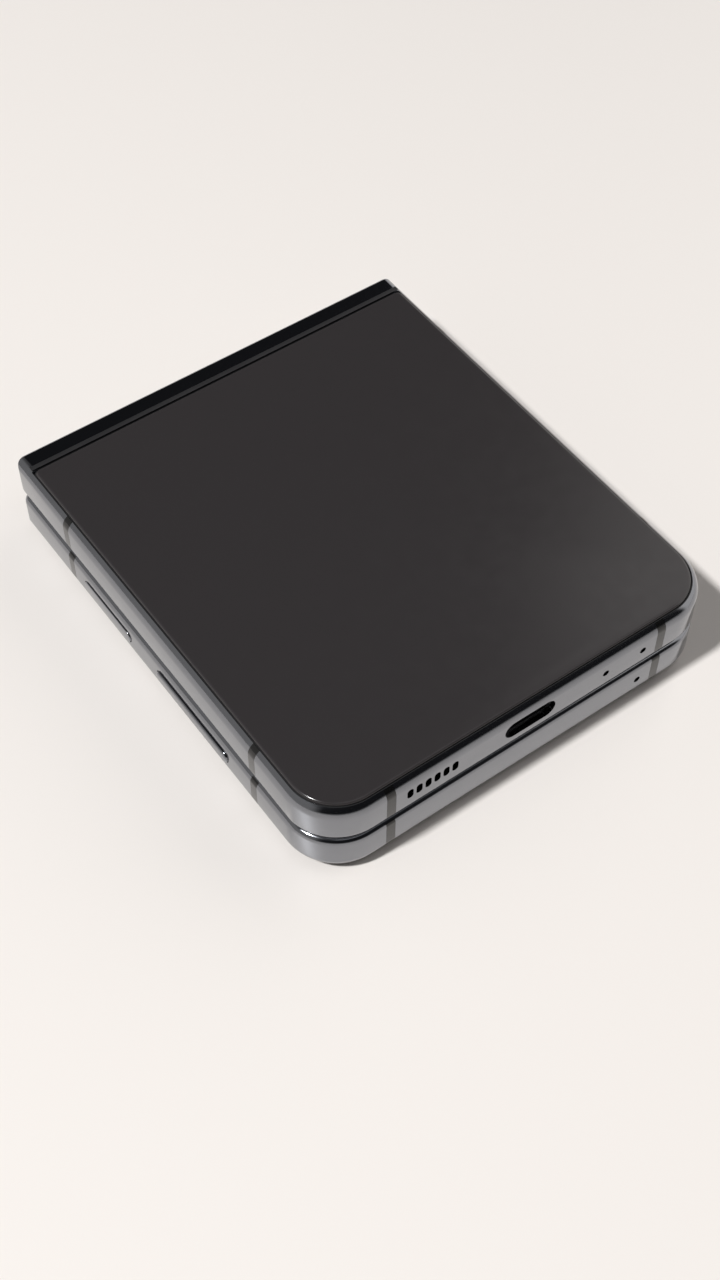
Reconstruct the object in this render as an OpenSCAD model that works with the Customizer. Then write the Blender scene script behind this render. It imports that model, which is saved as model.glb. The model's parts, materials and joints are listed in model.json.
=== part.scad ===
// Clamshell phone with an inner folding display, shown folded with the base half on top.
// X runs across the phone, +Y points to the hinge and +Z up. The origin lies on the table
// under the middle of the closed phone. Each half is drawn once, in heights w measured from
// the plane where the two screens meet, and the cover half is the mirror image of that.

/* [Halves] */
// Width of the phone
body_w = 71.9; // [69:0.1:76]
// Length of each half, from its free end to its hinge end
half_len = 82.55; // [81:0.1:88]
// Thickness of each half, frame and glass together
half_t = 7.2; // [6.8:0.1:7.6]
// Gap between the two frames when the phone is shut
fold_gap = 0.7; // [0.65:0.05:1.4]
// Corner radius of the free ends, seen from above
corner_r = 8.6; // [8:0.1:9.4]
// Edge radius of the frame on the glass side
back_edge_r = 2.1; // [1.6:0.1:2.2]
// Edge radius of the frame on the screen side
screen_edge_r = 1; // [0.8:0.05:1.9]
// Corner radius of the hinge end, seen from above
hinge_corner_r = 1.8; // [1.5:0.1:2.4]
// Edge radius of the hinge end on the glass side
hinge_back_r = 1; // [0.8:0.05:1.3]
// Edge radius of the hinge end on the screen side
hinge_screen_r = 1.4; // [1.4:0.05:1.6]
// Thickness of the frame's side wall
rim_wall = 2.2; // [2:0.1:2.4]

/* [Glass] */
// Thickness of the outer glasses
glass_t = 0.6; // [0.4:0.05:0.7]
// Inset of a glass from the frame's edge
glass_inset = 1.05; // [0.9:0.05:1.3]
// Height of a glass above the frame's rim
glass_proud = 0.1; // [0.05:0.01:0.2]
// Width of the bare metal strip between a glass and the hinge end
hinge_strip = 4.1; // [4:0.05:5.6]
// Corner radius of a glass next to the hinge
glass_hinge_r = 1; // [0.5:0.1:2]

/* [Hinge] */
// Distance of each hinge axis from the closing plane
axis_h = 1.8; // [1.75:0.01:1.85]
// How far the spine stands out past the halves
spine_proud = 2.55; // [2.3:0.05:2.6]
// Wall of the spine
spine_wall = 0.5; // [0.35:0.05:0.6]
// Radius of the hollow round each axis that takes the spine
recess_r = 4.9; // [4.85:0.05:5]
// Running gap between the spine and the hollow
spine_gap = 0.18; // [0.15:0.01:0.25]
// Wall of metal beside the spine's end
cheek_w = 1.75; // [1.4:0.05:2.2]
// Gap between the spine's end and that wall
spine_end_gap = 0.3; // [0.2:0.05:0.4]
// Distance of each hinge module from the spine's end
module_side = 11.9; // [11.9:0.1:16]
// Radius of the hinge pins and gear journals
pin_r = 0.4; // [0.3:0.01:0.45]
// Radial running clearance of a pin
pin_gap = 0.03; // [0.02:0.01:0.05]
// Radius of a knuckle
knuckle_r = 1.15; // [1:0.05:1.2]
// Half length of a knuckle
knuckle_half = 3.9; // [3:0.1:6]
// Thickness of a bracket's ear
ear_t = 1; // [0.8:0.1:1.4]
// Gap between a knuckle and an ear
ear_gap = 0.3; // [0.1:0.05:0.4]
// Number of disc springs on each pin
spring_discs = 6; // [3:1:8]
// Thickness of one disc spring with its cone
spring_pitch = 0.4; // [0.35:0.01:0.5]

/* [Gears] */
// Teeth of each of the four timing gears
gear_teeth = 12; // [12:1:12]
// Width of a timing gear
gear_w = 2; // [1:0.1:2.4]
// Pressure angle of the teeth
gear_pressure = 25; // [20:1:25]
// Thinning of each tooth for backlash
gear_backlash = 0.03; // [0.02:0.005:0.05]

/* [Inner display] */
// Distance from the closing plane to the display's surface
display_face = 0.8; // [0.75:0.01:0.85]
// Thickness of the folding display
display_t = 0.33; // [0.25:0.01:0.35]
// Centre line radius of the display's loop when shut
loop_r = 1.5; // [1.4:0.02:1.55]
// Distance from the hinge axes to the loop's centre
loop_back = 3.2; // [3:0.05:3.4]
// Height of the plastic bezel's face over the closing plane
bezel_gap = 0.05; // [0.03:0.01:0.1]
// Width of the bezel
bezel_w = 1.9; // [1.6:0.1:2.4]
// Inset of the bezel from the frame's edge
bezel_inset = 1.2; // [1.1:0.05:1.4]

/* [Hinge plates] */
// Length of a hinge plate away from the hinge
plate_reach = 16.2; // [15.9:0.1:16.4]
// Outer face of a hinge plate, from the closing plane
plate_top = 2.6; // [2.55:0.05:2.7]
// Thickness of a hinge plate's arm
arm_t = 0.55; // [0.4:0.05:0.6]

/* [Ports] */
// Width of the USB-C mouth
usb_w = 9; // [8.94:0.02:9.2]
// Height of the USB-C mouth
usb_h = 3.24; // [3.2:0.02:3.3]
// Height of the ports over the closing plane
port_w = 3.8; // [3.7:0.05:4]
// Middle of the row of speaker slots
slots_x = -17.15; // [-18:0.05:-16]
// Number of speaker slots
slot_count = 6; // [4:1:7]
// Distance between speaker slots
slot_pitch = 1.545; // [1.4:0.005:1.8]
// Width of a speaker slot
slot_w = 1.05; // [0.8:0.05:1.15]
// Height of a speaker slot
slot_h = 2; // [1.5:0.05:2.2]
// Radius of a microphone hole
mic_r = 0.55; // [0.4:0.05:0.6]
// Distance of the microphone holes from the closing plane
mic_w = 3.6; // [3.5:0.05:3.8]
// Distance of the outer microphone hole from the phone's side
mic_side = 15.05; // [14.6:0.05:15.6]
// Distance between the base half's two microphone holes
mic_pitch = 7; // [6.5:0.1:7.5]
// Width of an antenna strip
strip_w = 1.5; // [1:0.1:2]
// Distance of the end strips from the phone's side
strip_side = 11.75; // [10.5:0.05:12]
// Distance of the side strips from the hinge axes
strip_to_hinge = 13.8; // [13:0.1:14.8]
// Distance of the other side strips from the volume key's end
strip_to_key = 5.9; // [4.5:0.05:7.5]

/* [Keys] */
// Distance of the power key's middle from the hinge axes
power_to_hinge = 24.3; // [24.2:0.1:24.8]
// Length of the power key
power_len = 13.3; // [10:0.1:13.5]
// Distance of the volume key's middle from the hinge axes
volume_to_hinge = 47.95; // [47:0.05:48.5]
// Length of the volume key
volume_len = 19; // [15:0.1:20]
// Height of the keys
key_h = 2.2; // [1.8:0.1:2.4]
// Distance of the keys and the SIM tray from the closing plane
key_w = 3.65; // [3.6:0.05:4.1]
// Clearance round a key
key_gap = 0.13; // [0.08:0.01:0.15]
// How far the power key stands out
power_proud = 0.2; // [0.15:0.01:0.3]
// How far the volume key stands out
volume_proud = 0.4; // [0.3:0.01:0.5]
// Chamfer of the keys' edges
key_chamfer = 0.15; // [0.05:0.01:0.2]
// Free space behind a key's flange and before its switch
key_travel = 0.3; // [0.25:0.01:0.35]

/* [SIM tray] */
// Distance of the tray's middle from the free end
tray_end = 29.55; // [29:0.05:30]
// Width of the tray's head
tray_head = 15; // [14:0.1:15.5]
// Height of the tray's head
tray_h = 1.9; // [1.6:0.1:2]
// Clearance round the tray
tray_gap = 0.1; // [0.08:0.01:0.15]

/* [Cameras] */
// Distance of the main camera from the phone's side
main_cam_side = 10.75; // [10.4:0.05:11]
// Distance between the two cameras
cam_pitch = 15.6; // [15:0.1:16]
// Distance of the cameras from the free end
cam_end = 12.3; // [12:0.05:12.6]
// Outer radius of a lens ring
lens_ring_r = 6.2; // [5.8:0.1:6.4]
// How far a lens ring stands out of the glass
lens_proud = 0.7; // [0.5:0.05:1]
// Radius of a lens glass
lens_r = 4.85; // [4.4:0.05:4.9]
// Distance of the flash from the wide camera
flash_pitch = 11.2; // [10.5:0.1:11.6]

/* [Hidden] */
$fn = 64;

graphite = [0.27, 0.29, 0.33];
dark_glass = [0.06, 0.06, 0.075];
black_plastic = [0.05, 0.05, 0.055];
steel = [0.62, 0.63, 0.65];
board_green = [0.08, 0.2, 0.15];
cell_silver = [0.5, 0.51, 0.53];
copper = [0.72, 0.42, 0.22];

touch = 0.02;                             // gap between faces that meet
seat = 0.05;                              // gap round a piece that is laid in
w_in = fold_gap / 2;                      // frame's face on the screen side
w_out = w_in + half_t;                    // glass face
w_rim = w_out - glass_proud;              // frame's rim on the glass side
mid_z = w_out + lens_proud;               // closing plane above the table
total_len = half_len + spine_proud;
y_free = -total_len / 2;                  // free end of both halves
y_axis = y_free + half_len - axis_h;      // hinge axes
y_hinge = y_free + half_len - 0.05;       // hinge end, just short of the other half when open
x_side = body_w / 2;
x_wall = x_side - rim_wall;               // inner face of the side wall
y_wall = y_free + rim_wall;               // inner face of the end wall
past = 1;                                 // how far a cut runs past the solid

main_cam_x = main_cam_side - x_side;
wide_cam_x = main_cam_x + cam_pitch;
flash_x = wide_cam_x + flash_pitch;
cam_y = y_free + cam_end;
mic_b_x = x_side - mic_side;
mic_a_x = mic_b_x - mic_pitch;
strip_x = x_side - strip_side;
strip_hinge_y = y_axis - strip_to_hinge;
power_y = y_axis - power_to_hinge;
volume_y = y_axis - volume_to_hinge;
strip_free_y = volume_y - volume_len / 2 - strip_to_key - strip_w / 2;
tray_y = y_free + tray_end;

shelf = display_face + display_t + touch; // face that carries the display
floor_w = shelf + 0.8;                    // inner face of the mid-plate
glass_bed = w_out - glass_t - seat;       // ledge that carries the glass
pocket_w = plate_top + touch;             // bottom of the hinge plate's pocket
rib_top = pocket_w + 0.78;                // inner face of the rib behind that pocket
pocket_y = y_axis - plate_reach - 0.2;    // start of the hinge plate's pocket
cavity_y = pocket_y - 0.6;                // end of the deep part of the cavity
shallow_y = y_axis - recess_r - 0.8;      // end of the shallow part of the cavity
bay = 0.1;                                // gap between the floor and what stands on it
spine_half = x_side - cheek_w - spine_end_gap;
cheek_x = x_side - cheek_w;
module_x = spine_half - module_side;
screen_half = spine_half - 0.1;
plate_half = cheek_x - 0.9;
bend_u = -7.2;                            // where the display starts to bend
trim_w = axis_h - display_face - display_t - 0.05; // knuckles stop short of the open display

// Places one half's geometry: the base half lies above the closing plane, the cover half below
module base_side() { translate([0, 0, mid_z]) children(); }
module cover_side() { translate([0, 0, mid_z]) mirror([0, 0, 1]) children(); }

// ---- shared shapes ----

// Flat section of an edge: reach wide from s = 0, with its two outer corners rounded
module edge_section(reach, low, high, r_low, r_high) {
    r_big = max(r_low, r_high);
    translate([0, low]) square([reach - r_big, high - low]);
    translate([0, low + r_low]) square([reach, high - low - r_low - r_high]);
    translate([0, low]) square([reach - r_low, r_low]);
    translate([0, high - r_high]) square([reach - r_high, r_high]);
    intersection() {
        union() {
            translate([reach - r_low, low + r_low]) circle(r_low);
            translate([reach - r_high, high - r_high]) circle(r_high);
        }
        translate([0, low]) square([reach, high - low]);
    }
}

// Slab with its edge section carried round two sides and the free end
module edged_slab(half_w, y0, y1, reach, low, high, r_low, r_high) {
    for (side = [0, 1]) mirror([side, 0, 0]) {
        translate([half_w - reach, y1, 0]) rotate([90, 0, 0])
            linear_extrude(y1 - y0 - reach) edge_section(reach, low, high, r_low, r_high);
        translate([half_w - reach, y0 + reach, 0]) rotate([0, 0, -90])
            rotate_extrude(angle = 90) edge_section(reach, low, high, r_low, r_high);
    }
    translate([half_w - reach, y0 + reach, 0]) rotate([90, 0, -90])
        linear_extrude(2 * (half_w - reach)) edge_section(reach, low, high, r_low, r_high);
    translate([reach - half_w, y0 + reach, low])
        cube([2 * (half_w - reach), y1 - y0 - reach, high - low]);
}

// Straight-walled slab whose two corners at the free end are round
module plain_slab(half_w, y0, y1, r, low, high) {
    translate([-half_w, y0 + r, low]) cube([2 * half_w, y1 - y0 - r, high - low]);
    translate([r - half_w, y0, low]) cube([2 * (half_w - r), r, high - low]);
    for (side = [-1, 1])
        translate([side * (half_w - r), y0 + r, low]) cylinder(h = high - low, r = r);
}

// Block between two corners
module block(a, b) { translate(a) cube([b[0] - a[0], b[1] - a[1], b[2] - a[2]]); }

// Shape drawn in the hinge's own section, u along Y from the axes and w up, run along X
module along_x(x0, x1) {
    translate([x0, y_axis, 0]) rotate([90, 0, 90]) linear_extrude(x1 - x0) children();
}

// Slot with round ends, its long side across X or up Z, bored along Y
module stadium_y(w, h, y0, y1) {
    r = min(w, h) / 2;
    translate([0, y1, 0]) rotate([90, 0, 0]) linear_extrude(y1 - y0) {
        square([w - 2 * r + 0.001, h - (w > h ? 0 : 2 * r)], center = true);
        if (h > w) square([w, h - 2 * r], center = true);
        for (k = [-1, 1])
            translate(w > h ? [k * (w / 2 - r), 0] : [0, k * (h / 2 - r)]) circle(r);
    }
}

// Slot with round ends, lying along Y, bored along X
module stadium_x(len, h, x0, x1) {
    translate([x0, 0, 0]) rotate([90, 0, 90]) linear_extrude(x1 - x0) {
        square([len - h, h], center = true);
        for (k = [-1, 1]) translate([k * (len - h) / 2, 0]) circle(h / 2);
    }
}

// Small pan-head screw along w, its head's underside at w = 0 and its shank up
module screw(head_r, head_h, shank_r, shank_len) {
    difference() {
        translate([0, 0, -head_h]) cylinder(h = head_h, r = head_r);
        for (turn = [0, 90]) rotate([0, 0, turn])
            translate([-head_r * 0.6, -head_r * 0.12, -head_h - past])
                cube([head_r * 1.2, head_r * 0.24, past + head_h * 0.5]);
    }
    cylinder(h = shank_len, r = shank_r);
}

// ---- frames ----

// Outer form of a half: one slab rounded at the free end, cut to one rounded at the hinge end
module half_form() {
    intersection() {
        edged_slab(x_side, y_free, y_hinge + past, corner_r, w_in, w_rim, screen_edge_r, back_edge_r);
        mirror([0, 1, 0]) edged_slab(x_side, -y_hinge, past - y_free, hinge_corner_r, w_in, w_rim,
            hinge_screen_r, hinge_back_r);
    }
}

// Bed that a glass is glued into
module glass_bed_slab() {
    plain_slab(x_side - glass_inset + seat, y_free + glass_inset - seat,
        y_hinge - hinge_strip + seat, corner_r - glass_inset + seat, glass_bed, w_out + past);
}

board_x0 = 2.55 - x_wall;                 // main board, clear of the key switches
board_x1 = x_wall - 0.55;
board_y0 = y_free + 18.15;
board_y1 = board_y0 + 22.8;

boss_r = 1.6;
cover_boss = [for (x = [4.75 - x_wall, x_wall - 4.75], y = [2.1, 20.7]) [x, board_y0 + y]];
base_boss = [for (x = [3.15 - x_wall, -8, 9.6, x_wall - 3.15]) [x, y_free + 15.25]];
cover_boss_top = 5.5;
base_boss_top = 6;
shank_r = 0.5;

// Hollowed half with its mid-plate, ledges, rib and screw bosses
module frame_blank(bosses, boss_top) {
    difference() {
        half_form();
        // bed of the inner display and its bezel
        plain_slab(x_side - bezel_inset, y_free + bezel_inset, y_axis + bend_u,
            corner_r - bezel_inset, w_in - past, shelf);
        block([-cheek_x, y_axis + bend_u - past, w_in - past], [cheek_x, y_hinge + past, shelf]);
        block([-cheek_x, y_axis + bend_u - 0.4, w_in - past],
            [cheek_x, y_hinge + past, plate_top - arm_t]);
        // pocket of the hinge plate
        block([-plate_half - 0.1, pocket_y, w_in - past],
            [plate_half + 0.1, y_hinge + past, pocket_w]);
        // hollow for the parts inside
        difference() {
            plain_slab(x_wall, y_wall, cavity_y, corner_r - rim_wall, floor_w, w_out + past);
            for (b = bosses)
                translate([b[0], b[1], 0]) cylinder(h = boss_top, r = boss_r);
        }
        block([-x_wall, cavity_y - past, rib_top], [x_wall, shallow_y, w_out + past]);
        glass_bed_slab();
        // hollow for the hinge spine
        along_x(-cheek_x, cheek_x) translate([0, axis_h]) circle(recess_r);
        for (b = bosses) translate([b[0], b[1], floor_w + 0.4])
            cylinder(h = boss_top, r = shank_r + touch);
        plate_screw_places() translate([0, 0, shelf]) cylinder(h = 3, r = shank_r + touch);
        for (x = [-magnet_x, magnet_x])
            translate([x, magnet_y, shelf - past]) cylinder(h = 3, r = magnet_r + seat);
        strip_boxes(touch);
    }
}

strip_depth = 1.2;

// Blocks that cut the rim where the antenna strips run across it
module strip_boxes(extra) {
    half = strip_w / 2 + extra;
    deep = strip_depth + extra;
    for (side = [-1, 1]) {
        block([side * strip_x - half, y_free - past, w_in + screen_edge_r * 0.3],
            [side * strip_x + half, y_free + deep, w_out + past]);
        for (y = [strip_free_y, strip_hinge_y]) mirror([side < 0 ? 1 : 0, 0, 0])
            block([x_side - deep, y - half, w_in + screen_edge_r * 0.3],
                [x_side + past, y + half, w_out + past]);
    }
}

module antenna_strips() {
    color(black_plastic) difference() {
        intersection() {
            half_form();
            strip_boxes(0);
        }
        glass_bed_slab();
    }
}

module cover_frame() {
    color(graphite) cover_side() difference() {
        frame_blank(cover_boss, cover_boss_top);
        translate([mic_b_x, 0, mic_w]) rotate([90, 0, 0])
            cylinder(h = -y_wall + past + rim_wall, r = mic_r);
        translate([0, power_y, key_w])
            stadium_x(power_len + 2 * key_gap, key_h + 2 * key_gap, -x_side - past, -x_wall + past);
        translate([0, volume_y, key_w])
            stadium_x(volume_len + 2 * key_gap, key_h + 2 * key_gap, -x_side - past, -x_wall + past);
        translate([0, tray_y, key_w])
            stadium_x(tray_head + 2 * tray_gap, tray_h + 2 * tray_gap, x_wall - past, x_side + past);
        translate([0, selfie_y, 0]) cylinder(h = floor_w + past, r = selfie_r + seat);
    }
}

module base_frame() {
    color(graphite) base_side() difference() {
        frame_blank(base_boss, base_boss_top);
        for (x = [mic_a_x, mic_b_x]) translate([x, 0, mic_w]) rotate([90, 0, 0])
            cylinder(h = -y_wall + past + rim_wall, r = mic_r);
        translate([0, 0, port_w]) stadium_y(usb_w, usb_h, y_free - past, y_wall + past);
        for (k = [0:slot_count - 1])
            translate([slots_x + (k - (slot_count - 1) / 2) * slot_pitch, 0, port_w])
                stadium_y(slot_w, slot_h, y_free - past, y_wall + past);
    }
}

module cover_antenna_strips() { cover_side() antenna_strips(); }
module base_antenna_strips() { base_side() antenna_strips(); }

// ---- glasses and what is under them ----

glass_edge_r = glass_t / 2;

module glass_sheet() {
    half_w = x_side - glass_inset;
    y0 = y_free + glass_inset;
    y1 = y_hinge - hinge_strip;
    r = corner_r - glass_inset;
    intersection() {
        edged_slab(half_w, y0, y1, r, w_out - glass_t, w_out, 0.1, glass_edge_r);
        union() {
            block([-half_w - past, y0 - past, 0], [half_w + past, y1 - glass_hinge_r, w_out + past]);
            block([glass_hinge_r - half_w, y0 - past, 0], [half_w - glass_hinge_r, y1, w_out + past]);
            for (side = [-1, 1]) translate([side * (half_w - glass_hinge_r), y1 - glass_hinge_r, 0])
                cylinder(h = w_out + past, r = glass_hinge_r);
        }
    }
}

ring_neck_r = lens_ring_r - 0.3;
ring_bore_r = lens_r + touch;
flash_r = 1.6;

module cover_glass() {
    color(dark_glass) cover_side() difference() {
        glass_sheet();
        for (x = [main_cam_x, wide_cam_x]) translate([x, cam_y, 0])
            cylinder(h = w_out + past, r = ring_neck_r + seat);
        translate([flash_x, cam_y, 0]) cylinder(h = w_out + past, r = flash_r + seat);
    }
}

module base_glass() { color(dark_glass) base_side() glass_sheet(); }

panel_out = glass_bed - touch;            // face of what lies against a glass
panel_t = 0.5;

module cover_display_panel() {
    color(black_plastic) cover_side()
        block([2.75 - x_wall, board_y0 + 2.9, panel_out - panel_t],
            [x_wall - 2.75, shallow_y - 1.2, panel_out]);
}

// ---- cameras ----

module lens_rings() {
    color(graphite) cover_side() for (x = [main_cam_x, wide_cam_x]) translate([x, cam_y, 0])
        difference() {
            union() {
                translate([0, 0, w_out + touch])
                    cylinder(h = lens_proud - touch, r = lens_ring_r);
                translate([0, 0, w_out - glass_t - 0.3]) cylinder(h = glass_t + 0.6, r = ring_neck_r);
            }
            cylinder(h = w_out + lens_proud + past, r = ring_bore_r);
        }
}

module lens_glasses() {
    color(dark_glass) cover_side() for (x = [main_cam_x, wide_cam_x]) translate([x, cam_y, 0])
        translate([0, 0, w_out + lens_proud - 0.65]) cylinder(h = 0.5, r = lens_r);
}

// Sensor housing with its round lens barrel
module camera(size, barrel_r) {
    lens_back = w_out + lens_proud - 0.65 - touch;
    block([-size / 2, -size / 2, floor_w + bay], [size / 2, size / 2, 5.4]);
    difference() {
        translate([0, 0, 5]) cylinder(h = lens_back - 5, r = barrel_r);
        translate([0, 0, lens_back - 1.4]) cylinder(h = 2, r = barrel_r * 0.55);
    }
}

module main_camera() {
    color(black_plastic) cover_side() translate([main_cam_x, cam_y, 0]) camera(10.6, 4.3);
}

module wide_camera() {
    color(black_plastic) cover_side() translate([wide_cam_x, cam_y, 0]) camera(9, 3.9);
}

module flash_unit() {
    color([0.9, 0.85, 0.6]) cover_side() translate([flash_x, cam_y, 0]) {
        translate([0, 0, w_out - 0.9]) cylinder(h = 0.9 - touch, r = flash_r);
        block([-2.2, -2.2, floor_w + bay], [2.2, 2.2, w_out - 0.85]);
    }
}

selfie_y = y_free + 5;
selfie_r = 2.2;
selfie_hole_r = 1.8;

module selfie_camera() {
    color(black_plastic) cover_side() translate([0, selfie_y, 0]) {
        translate([0, 0, shelf + touch]) cylinder(h = 2, r = selfie_r);
        block([-2.6, -2.6, floor_w + bay], [2.6, 2.6, 4.8]);
    }
}

// ---- cover half's electronics ----

board_w = floor_w + bay;
board_t = 0.8;

module main_board() {
    color(board_green) cover_side() difference() {
        block([board_x0, board_y0, board_w], [board_x1, board_y1, board_w + board_t]);
        for (b = cover_boss)
            translate([b[0], b[1], 0]) cylinder(h = 9, r = boss_r + 0.1);
    }
}

parts_w = board_w + board_t + touch;

module board_shields() {
    color(steel) cover_side() {
        block([board_x0 + 4.6, board_y0 + 1.4, parts_w],
            [wide_cam_x + 1.6, board_y1 - 1.4, parts_w + 1.5]);
        block([wide_cam_x + 2.6, board_y0 + 1.4, parts_w],
            [tray_in - 3, board_y1 - 1.4, parts_w + 1.3]);
        block([tray_in - 1, board_y1 - 2.8, parts_w], [tray_in + 10.5, board_y1 - 0.6, parts_w + 1]);
    }
}

cell_top = 6.1;                           // face of the cells on the glass side

module cover_battery() {
    color(cell_silver) cover_side() {
        block([board_x0, board_y1 + 0.8, board_w], [board_x1 - 0.2, cavity_y - 0.4, cell_top]);
        block([-6, cavity_y - past, rib_top + bay], [6, cavity_y + 3.5, 4.4]);
    }
}

module earpiece() {
    color(black_plastic) cover_side() difference() {
        block([3.4, y_wall + 0.1, board_w], [mic_b_x - 3.6, y_wall + 4.4, 5.2]);
        block([5, y_wall - past, 4], [mic_b_x - 5.2, y_wall + 1, 4.6]);
    }
}

// Microphone can with its sound hole towards the end wall
module microphone(x, foot) {
    difference() {
        block([x - 1.7, y_wall + 0.1, foot], [x + 1.7, y_wall + 2.7, mic_w + 1.1]);
        translate([x, y_wall + 1.2, mic_w]) rotate([90, 0, 0]) cylinder(h = 3, r = mic_r);
    }
}

module cover_microphone() { color(steel) cover_side() microphone(mic_b_x, board_w); }

bracket_t = 0.4;

module cover_bracket() {
    low = cover_boss_top + touch;
    color(steel) cover_side() difference() {
        union() {
            for (y = [board_y0 + 0.3, board_y1 - 3.9])
                block([2.85 - x_wall, y, low], [x_wall - 2.85, y + 3.6, low + bracket_t]);
            for (x = [[board_x0 + 7.2, board_x0 + 21.2], [tray_in - 7.5, tray_in - 2.5]])
                block([x[0], board_y0 + 0.3, low], [x[1], board_y1 - 0.3, low + bracket_t]);
        }
        for (b = cover_boss)
            translate([b[0], b[1], 0]) cylinder(h = 9, r = shank_r + 0.1);
    }
}

// Screws from the glass side, their heads' undersides at height top
module screws_at(places, top, len) {
    for (b = places) translate([b[0], b[1], top + touch]) mirror([0, 0, 1])
        screw(1.1, 0.4, shank_r, len);
}

module cover_bracket_screws() {
    color(steel) cover_side() screws_at(cover_boss, cover_boss_top + bracket_t + touch, 3.4);
}

magnet_x = x_side - 6.95;
magnet_y = y_free + 8.95;
magnet_r = 2.6;

// Closing magnets, let into the mid-plate behind the display
module magnets() {
    for (x = [-magnet_x, magnet_x])
        translate([x, magnet_y, shelf + touch]) cylinder(h = floor_w - shelf - 0.04, r = magnet_r);
}

module cover_magnets() { color(steel) cover_side() magnets(); }
module base_magnets() { color(steel) base_side() magnets(); }

// ---- SIM tray ----

tray_body = 5.6;                          // half width of the tray behind its head
tray_body_h = 1.1;
tray_in = x_side - 20.45;                 // inner end of the tray
head_len = rim_wall - 0.3;
card = [12.3, 8.8, 0.67];
card_x = tray_in + 4;

module sim_tray() {
    color(graphite) cover_side() translate([0, tray_y, key_w]) difference() {
        union() {
            stadium_x(tray_head, tray_h, x_side - head_len, x_side);
            block([tray_in, -tray_body, -tray_body_h / 2],
                [x_side - head_len + 0.4, tray_body, tray_body_h / 2]);
        }
        block([card_x - 0.1, -card[1] / 2 - 0.1, tray_body_h / 2 - card[2]],
            [card_x + card[0] + 0.1, card[1] / 2 + 0.1, tray_body_h]);
        translate([x_side - 1.2, tray_body + 0.8, 0]) rotate([0, 90, 0]) cylinder(h = 3, r = 0.4);
    }
}

module sim_card() {
    color([0.85, 0.82, 0.7]) cover_side()
        translate([card_x, tray_y - card[1] / 2, key_w + tray_body_h / 2 - card[2] + touch])
            cube([card[0], card[1], card[2] - 0.05]);
}

reader_wall = 0.2;

module sim_reader() {
    gap = 0.12;
    color(steel) cover_side() translate([0, tray_y, 0]) difference() {
        block([tray_in - 1.2, -tray_body - gap - reader_wall, parts_w],
            [x_side - rim_wall - 0.2, tray_body + gap + reader_wall,
                key_w + tray_body_h / 2 + gap + reader_wall]);
        block([tray_in - 0.7, -tray_body - gap, key_w - tray_body_h / 2 - gap],
            [x_side, tray_body + gap, key_w + tray_body_h / 2 + gap]);
        block([tray_in, -tray_body + 0.6, parts_w + 0.2],
            [x_side, tray_body - 0.6, key_w]);
    }
}

// ---- keys ----

flange_t = 0.4;
flange_edge = 0.35;
key_back = -x_wall + key_travel;          // outer face of the flange, inside the wall
switch_face = key_back + flange_t + 0.3 + key_travel;

// Half section of a key cap, its height t along the cap's own axis
module cap_section(t) {
    half = key_h / 2;
    polygon([[0, 0], [half, 0], [half, t - key_chamfer], [half - key_chamfer, t], [0, t]]);
}

// Cap with round ends and chamfered edges, standing on the XY plane with its length along Y
module key_cap(len, t) {
    straight = len - key_h;
    for (side = [0, 1]) mirror([0, side, 0]) {
        translate([0, straight / 2, 0]) rotate_extrude() cap_section(t);
        mirror([side, 0, 0]) rotate([90, 0, 0]) linear_extrude(straight, center = true) cap_section(t);
    }
}

// Key cap in its slot, with a flange inside the wall and a nub for each switch
module key(len, proud, nubs) {
    cap_foot = key_back + flange_t;
    translate([cap_foot, 0, 0]) rotate([0, -90, 0]) key_cap(len, cap_foot + x_side + proud);
    block([key_back, -len / 2 - flange_edge, -key_h / 2 - flange_edge],
        [key_back + flange_t, len / 2 + flange_edge, key_h / 2 + flange_edge]);
    for (y = nubs) translate([key_back + flange_t - touch, y, 0]) rotate([0, 90, 0])
        cylinder(h = 0.3 + touch, r = 0.6);
}

volume_nub = 5.5;

module power_key() { color(graphite) cover_side() translate([0, power_y, key_w]) key(power_len, power_proud, [0]); }

module volume_key() {
    color(graphite) cover_side() translate([0, volume_y, key_w])
        key(volume_len, volume_proud, [-volume_nub, volume_nub]);
}

module key_switches() {
    color(copper) cover_side() {
        block([switch_face + 0.5, volume_y - volume_len / 2, board_w],
            [switch_face + 0.9, power_y + power_len / 2 - 0.6, key_w + 1.3]);
        for (y = [volume_y - volume_nub, volume_y + volume_nub, power_y]) {
            block([switch_face + 0.2, y - 1.6, key_w - 1.2], [switch_face + 0.5, y + 1.6, key_w + 1.2]);
            translate([switch_face, y, key_w]) rotate([0, 90, 0]) cylinder(h = 0.3, r = 0.9);
        }
    }
}

// ---- inner display ----

// Plastic rim round three sides of a display half
module bezel() {
    lip = 0.7;                            // part that reaches down beside the display
    y1 = y_axis + bend_u - 0.2;
    in0 = bezel_inset + seat;
    in1 = in0 + lip;
    in2 = in0 + bezel_w;
    difference() {
        plain_slab(x_side - in0, y_free + in0, y1, corner_r - in0, bezel_gap, shelf - touch);
        plain_slab(x_side - in2, y_free + in2, y1 + past, corner_r - in2, bezel_gap - past, shelf);
        plain_slab(x_side - in1, y_free + in1, y1 + past, corner_r - in1, display_face - touch,
            shelf + past);
    }
}

module cover_bezel() { color(black_plastic) cover_side() bezel(); }
module base_bezel() { color(black_plastic) base_side() bezel(); }

screen_inset = bezel_inset + 0.7 + 0.1;

// Flat part of the folding display
module flat_screen() {
    plain_slab(x_side - screen_inset - seat, y_free + screen_inset + seat, y_axis + bend_u - touch,
        corner_r - screen_inset - seat, display_face, display_face + display_t);
}

module cover_screen() {
    color(dark_glass) cover_side() difference() {
        flat_screen();
        translate([0, selfie_y, 0]) cylinder(h = 3, r = selfie_hole_r);
    }
}

module base_screen() { color(dark_glass) base_side() flat_screen(); }

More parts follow.
